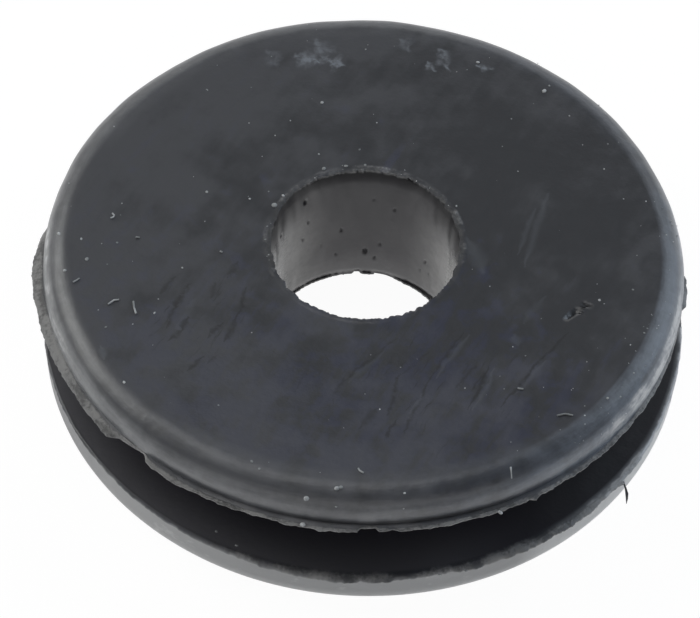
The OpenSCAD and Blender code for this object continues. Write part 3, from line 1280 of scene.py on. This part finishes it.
def torn_colour(tree, here):
    torn_rubber = blend_colours(tree, spread(tree, here.uneven, 0.35, 0.6), TORN_DARK, TORN_PALE)
    at_mouth = spread(tree, here.radius, 4.6, 4.2)
    flecks = product(tree, spread(tree, here.grain, 0.58, 0.7), at_mouth)
    return blend_colours(tree, flecks, torn_rubber, TORN_FLECK)


here.uneven = arithmetic(tree, "MULTIPLY_ADD", less_half(tree, here.grain), 0.5, here.small_patches)
here.ragged = ragged_mask(tree, here)
here.dirt = attribute_value(tree, "dirt")
colour = blend_colours(tree, product(tree, here.ragged, TORN_SHARE), colour, torn_colour(tree, here))
# Painted shade: the colour turns nearly black in creases, the undercut, the pits and the groove's corner.
colour = blend_colours(tree, here.dirt, colour, PAINTED_SHADE)
plug(tree, shader.inputs["Base Color"], colour)
print("the whole colour takes", len(tree.nodes), "nodes")

# %% [markdown]
# ## Gloss and relief
#
# So dark a rubber is seen mostly by what it mirrors, and its gloss matters more than its colour. Bloom,
# torn rubber, smears and the painted shade make it duller. The bore's wall is glossier than the rest at its
# two sides, and duller in between, most of all high up. The relief is a grain and a shallow unevenness, with
# streaks on the shoulders, all a few hundredths of a mm at most, and weaker in the bore, which the pin
# smoothed.

# %% Gloss and relief
GLOSS_IOR = 1.8
SATIN = 0.34
BORE_ROUGHNESS = 0.26
BORE_DULL = 0.3
GRAIN_ROUGHNESS = 0.1
BLOOM_ROUGHNESS = 0.04
TORN_ROUGHNESS = 0.2
SMEAR_ROUGHNESS = 0.15
PAINTED_SHADE_ROUGHNESS = 0.3
GRAIN_RELIEF = 0.006
PATCH_RELIEF = 0.03
STREAK_RELIEF = 0.015
TORN_RELIEF = 0.03
BORE_SMOOTHED = 0.6


def more(tree, value, share, most):
    """Adds share of most to a value."""
    return arithmetic(tree, "MULTIPLY_ADD", share, most, value)


def all_but(tree, share):
    return arithmetic(tree, "SUBTRACT", 1.0, share)


def dullness(tree, here):
    value = more(tree, SATIN - GRAIN_ROUGHNESS / 2, here.grain, GRAIN_ROUGHNESS)
    value = more(tree, value, here.bloom, BLOOM_ROUGHNESS)
    value = more(tree, value, here.ragged, TORN_ROUGHNESS)
    value = more(tree, value, here.smears, SMEAR_ROUGHNESS)
    high_up = spread(tree, here.z, 0.2, 1.8, 0.35, 0.9)
    mid_wall = product(tree, high_up, all_but(tree, here.at_sides))
    wall = more(tree, BORE_ROUGHNESS - SATIN, mid_wall, BORE_DULL)
    value = more(tree, value, here.in_bore, wall)
    return more(tree, value, here.dirt, PAINTED_SHADE_ROUGHNESS)


def surface_relief(tree, here):
    """The height of the surface in mm, above a smooth one."""
    height = more(tree, product(tree, here.grain, GRAIN_RELIEF), here.small_patches, PATCH_RELIEF)
    on_shoulder = product(tree, spread(tree, here.radius, 11.3, 11.8), all_but(tree, here.in_groove))
    height = more(tree, height, product(tree, here.streaks, on_shoulder), STREAK_RELIEF)
    height = more(tree, height, product(tree, here.ragged, here.grain), TORN_RELIEF)
    return product(tree, height, more(tree, 1.0, here.in_bore, -BORE_SMOOTHED))


plug(tree, shader.inputs["Roughness"], dullness(tree, here))
shader.inputs["IOR"].default_value = GLOSS_IOR
bump = add_node(tree, "Bump", Strength=1.0, Distance=MM, Height=surface_relief(tree, here))
plug(tree, shader.inputs["Normal"], bump.outputs["Normal"])
grommet.data.materials.append(rubber)
print("rubber has", len(tree.nodes), "nodes")

# %% [markdown]
# ## Dust and lint
#
# Black rubber shows every speck. The larger ones are placed one by one, by X, Y and radius, and many tiny
# ones are scattered later with a fixed seed. A crumb on a fin has a height as well. A speck sits on the
# surface, so the height of the surface at a place has to be known. Lint is a short thread through a few
# places on the surface.

# %% Places of the dust and lint
BRIGHT_SPECKS = [
    (6.9, 8.4, 0.09), (7.1, 8.7, 0.05), (-11.0, -0.5, 0.05), (-9.6, -0.6, 0.05), (-10.7, -1.5, 0.06),
    (-11.5, -2.1, 0.06), (-7.9, -4.0, 0.045), (-9.7, -4.8, 0.045), (-8.8, -7.4, 0.05),
    (-11.9, -0.2, 0.06), (-7.0, -1.7, 0.04), (-0.6, -11.8, 0.09), (-0.45, -11.75, 0.07),
    (-1.7, -12.1, 0.1), (-0.6, -12.3, 0.055), (1.9, -11.8, 0.05), (1.9, -12.2, 0.05),
    (-3.8, -10.8, 0.05), (-3.5, -11.1, 0.05), (-1.8, -12.7, 0.07), (-6.3, 2.2, 0.055),
    (-2.0, 7.2, 0.055), (-0.4, 4.8, 0.045), (-3.62, 1.68, 0.09), (-4.6, 1.95, 0.05), (-2.0, 4.45, 0.04),
    (-1.77, 3.7, 0.08), (-0.9, 3.9, 0.06), (9.1, -2.3, 0.05), (4.2, 9.8, 0.055), (10.4, -1.7, 0.045),
    (9.4, -7.0, 0.05), (9.9, -6.8, 0.045), (-0.15, 4.0, 0.05), (-3.3, 2.2, 0.05), (3.5, 2.1, 0.04),
]
FIN_CRUMBS = [
    (5.5, -11.7, UPPER_Z + 0.1, 0.08), (4.4, -12.08, LOWER_T - 0.18, 0.06),
    (3.42, -12.35, LOWER_T - 0.18, 0.05), (-5.1, -11.0, LOWER_T, 0.05), (-4.3, -11.6, LOWER_T, 0.05),
]
LINT = [
    [(-11.13, -2.7), (-11.0, -2.6), (-10.9, -2.5)], [(-9.7, -3.7), (-9.5, -3.5), (-9.3, -3.45)],
    [(-8.75, -3.5), (-8.7, -3.8), (-8.6, -4.1)], [(7.5, -8.0), (7.8, -7.9), (8.1, -7.95)],
    [(5.8, -10.4), (5.85, -10.75)], [(0.15, -10.9), (0.2, -11.0), (0.35, -11.1)],
    [(-5.6, -0.8), (-5.5, -0.85)], [(-9.9, 0.85), (-9.82, 0.75), (-9.85, 0.65), (-9.95, 0.6)],
    [(-8.9, -0.3), (-8.75, -0.32)], [(6.0, -6.8), (6.22, -6.82)],
]
LINT_R = 0.038
TINY_SPECKS = 110
SHOULDER_SPECKS = 45
LIP_CRUMBS = 34
random.seed(4)


def height_at(x, y):
    """The height in mm of the upper flange's surface above a place."""
    r = math.hypot(x, y)
    if r <= UPPER_R - SHOULDER_R:
        return HEIGHT
    if r < UPPER_R:
        return HEIGHT - SHOULDER_R + math.sqrt(SHOULDER_R ** 2 - (r - UPPER_R + SHOULDER_R) ** 2)
    return UPPER_Z + FIN_T


print(len(BRIGHT_SPECKS) + len(FIN_CRUMBS), "specks by hand and", len(LINT), "bits of lint")

# %% [markdown]
# ## Make the dust and lint
#
# A speck is a flattened round grain, turned at random. A thread is drawn as a curve with a round bevel,
# which gives it its thickness, and is then read as a mesh. All of it goes into one mesh, because no speck
# is ever handled by itself. Most of the scattered specks are tiny, and more of them are put on the right
# shoulder and on the lip, which catch them.

# %% Make the dust and lint
DUST_GREY = (0.35, 0.37, 0.38, 1)
DUST_WHITE = (0.78, 0.8, 0.82, 1)
DUST_ROUGHNESS = 0.8
SPECK_SIDES = [(1.1, 1.6), (0.9, 1.3), (0.4, 0.7)]


def add_speck(bm, place, size):
    sides = [random.uniform(least, most) for least, most in SPECK_SIDES]
    stretch = Matrix.Diagonal((*sides, 1))
    spin = Matrix.Rotation(random.uniform(0, math.tau), 4, "Z")
    matrix = Matrix.Translation(Vector(place) * MM) @ spin @ stretch
    bmesh.ops.create_icosphere(bm, subdivisions=2 if size > 0.05 else 1, radius=size * MM, matrix=matrix)


def add_thread(bm, points, radii):
    """A thin round thread through points in mm, with a radius at each."""
    data = bpy.data.curves.new("thread", "CURVE")
    data.dimensions = "3D"
    data.bevel_depth = MM
    data.bevel_resolution = 1
    data.use_fill_caps = True
    spline = data.splines.new("POLY")
    spline.points.add(len(points) - 1)
    for point, place, radius in zip(spline.points, points, radii):
        point.co = (*[c * MM for c in place], 1)
        point.radius = radius
    thread = bpy.data.objects.new("thread", data)
    bpy.context.scene.collection.objects.link(thread)
    bpy.context.view_layer.update()
    bm.from_mesh(thread.to_mesh())
    bpy.data.objects.remove(thread)


def scatter_specks(bm, count, inner_r, outer_r, first, last, largest):
    """Scatters specks over the surface between two radii in mm and two azimuths in degrees."""
    for _ in range(count):
        r = math.sqrt(random.uniform(inner_r ** 2, outer_r ** 2))
        a = math.radians(random.uniform(first, last))
        x, y = r * math.cos(a), r * math.sin(a)
        add_speck(bm, (x, y, height_at(x, y)), largest * random.uniform(0.35, 1))


def build_dust_material():
    material = bpy.data.materials.new("dust")
    material.use_nodes = True
    dust_tree = material.node_tree
    dust_shader = dust_tree.nodes["Principled BSDF"]
    varied = spread(dust_tree, noise_at(dust_tree, place_in_mm(dust_tree), 1.7, 1.0), 0.35, 0.65)
    plug(dust_tree, dust_shader.inputs["Base Color"], blend_colours(dust_tree, varied, DUST_GREY, DUST_WHITE))
    dust_shader.inputs["Roughness"].default_value = DUST_ROUGHNESS
    return material


def build_dust():
    bm = bmesh.new()
    for x, y, size in BRIGHT_SPECKS:
        add_speck(bm, (x, y, height_at(x, y) + size * 0.2), size)
    for *place, size in FIN_CRUMBS:
        add_speck(bm, place, size)
    scatter_specks(bm, TINY_SPECKS, BORE_R + 0.2, UPPER_R, 0, 360, 0.03)
    scatter_specks(bm, SHOULDER_SPECKS, UPPER_R - 1.2, UPPER_R, -50, 15, 0.035)
    scatter_specks(bm, LIP_CRUMBS, BORE_R - 0.03, BORE_R + 0.12, 15, 200, 0.035)
    for path in LINT:
        add_thread(bm, [(x, y, height_at(x, y) + LINT_R) for x, y in path], [LINT_R] * len(path))
    made = object_from(bm, "dust_and_lint")
    made.data.materials.append(build_dust_material())
    return made


dust = build_dust()
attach(dust, "root")
print("dust and lint have", len(dust.data.polygons), "faces")

# %% [markdown]
# ## A sliver of flash
#
# A sliver of torn flash hangs from the lower flange at the front right. It is a thread like the lint, but
# of rubber, and thickest halfway down. Each point has its own radius.

# %% Sliver of flash
SLIVER = [
    ((10.36, -7.68, 2.14), 0.03), ((10.46, -7.9, 2.02), 0.04), ((10.52, -8.06, 1.88), 0.065),
    ((10.53, -8.2, 1.74), 0.045), ((10.52, -8.33, 1.6), 0.008),
]


def build_sliver():
    bm = bmesh.new()
    add_thread(bm, [place for place, _ in SLIVER], [radius for _, radius in SLIVER])
    made = object_from(bm, "sliver_of_flash")
    made.data.materials.append(rubber)
    return made


sliver = build_sliver()
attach(sliver, "root")
print("the sliver has", len(sliver.data.polygons), "faces")

# %% [markdown]
# ## The table
#
# The grommet lies on a white table. It shows white to the camera and in reflections, and keeps a trace of
# the grommet's shadow. The light it throws back on the grommet from below is that of a matt, pale grey
# sheet, which keeps the rims from being lit too much.

# %% Table
TABLE_SIZE = 3000
TABLE_DROP = 0.01
TABLE_SHADE = (0.8, 0.8, 0.8, 1)
TABLE_WHITE = (1, 1, 1, 1)
SHADOW_SHARE = 0.12
GLOW = 1.09


def build_table_material():
    material = bpy.data.materials.new("white_table")
    material.use_nodes = True
    table_tree = material.node_tree
    table_tree.nodes.clear()
    rays = add_node(table_tree, "LightPath").outputs
    seen = strongest(table_tree, rays["Is Camera Ray"], rays["Is Glossy Ray"], rays["Is Transmission Ray"])
    shaded = add_node(table_tree, "BsdfDiffuse", Color=TABLE_SHADE)
    white = add_node(table_tree, "Emission", Color=TABLE_WHITE, Strength=GLOW)
    mix = add_node(table_tree, "MixShader", Fac=product(table_tree, seen, 1 - SHADOW_SHARE))
    plug(table_tree, mix.inputs[1], shaded.outputs[0])
    plug(table_tree, mix.inputs[2], white.outputs[0])
    output = add_node(table_tree, "OutputMaterial")
    plug(table_tree, output.inputs["Surface"], mix.outputs[0])
    return material


def build_table():
    bm = bmesh.new()
    bmesh.ops.create_grid(bm, x_segments=1, y_segments=1, size=TABLE_SIZE / 2 * MM)
    bmesh.ops.translate(bm, verts=bm.verts[:], vec=(0, 0, -TABLE_DROP * MM))
    mesh = bpy.data.meshes.new("table")
    bm.to_mesh(mesh)
    bm.free()
    mesh.materials.append(build_table_material())
    made = bpy.data.objects.new("table", mesh)
    bpy.context.scene.collection.objects.link(made)
    return made


table = build_table()
print("table of", TABLE_SIZE / 1000, "m")

# %% [markdown]
# ## The light
#
# The table stands in a light tent, which is bright near the horizon and dimmer overhead. Soft lamps behind
# and at the sides draw the bands of light on the shoulders, one overhead lights the face, and a weaker one
# in front keeps the near rims from going black. A lamp's brightness is its radiance, where 1 is a white
# that is just not clipped, so that it can be compared with the tent's.

# %% Tent and lamps
TENT_HORIZON = 1.0
TENT_TOP = 0.3
TENT_LOW = 0.1
TENT_HIGH = 0.55


def add_tent():
    world = bpy.data.worlds.new("tent")
    bpy.context.scene.world = world
    world.use_nodes = True
    tent_tree = world.node_tree
    background = tent_tree.nodes["Background"]
    direction = add_node(tent_tree, "TexCoord").outputs["Generated"]
    height = add_node(tent_tree, "SeparateXYZ", Vector=direction).outputs["Z"]
    strength = spread(tent_tree, height, TENT_LOW, TENT_HIGH, TENT_HORIZON, TENT_TOP)
    plug(tent_tree, background.inputs["Strength"], strength)


def add_lamp(name, azimuth, elevation, distance, width, height, brightness, tint=(1, 1, 1)):
    """A soft box that faces the grommet, sizes in mm."""
    data = bpy.data.lights.new(name, "AREA")
    data.shape = "RECTANGLE"
    data.size = width * MM
    data.size_y = height * MM
    data.energy = brightness * math.pi * data.size * data.size_y
    data.color = tint
    lamp = bpy.data.objects.new(name, data)
    e = math.radians(elevation)
    direction = point_at(math.cos(e), azimuth, math.sin(e))
    facing = direction.to_track_quat("Z", "Y").to_matrix().to_4x4()
    lamp.matrix_world = Matrix.Translation(direction * distance * MM) @ facing
    lamp.visible_camera = False
    bpy.context.scene.collection.objects.link(lamp)


add_tent()
add_lamp("overhead_left", 130, 76, 500, 300, 260, 1.0)
add_lamp("behind", 90, 22, 700, 900, 330, 0.8)
add_lamp("left", 158, 36, 600, 420, 420, 2.0, (1.0, 1.0, 0.97))
add_lamp("right", 30, 28, 600, 420, 480, 1.5, (0.82, 0.95, 1.1))
add_lamp("front", 270, 28, 700, 1300, 320, 0.72)
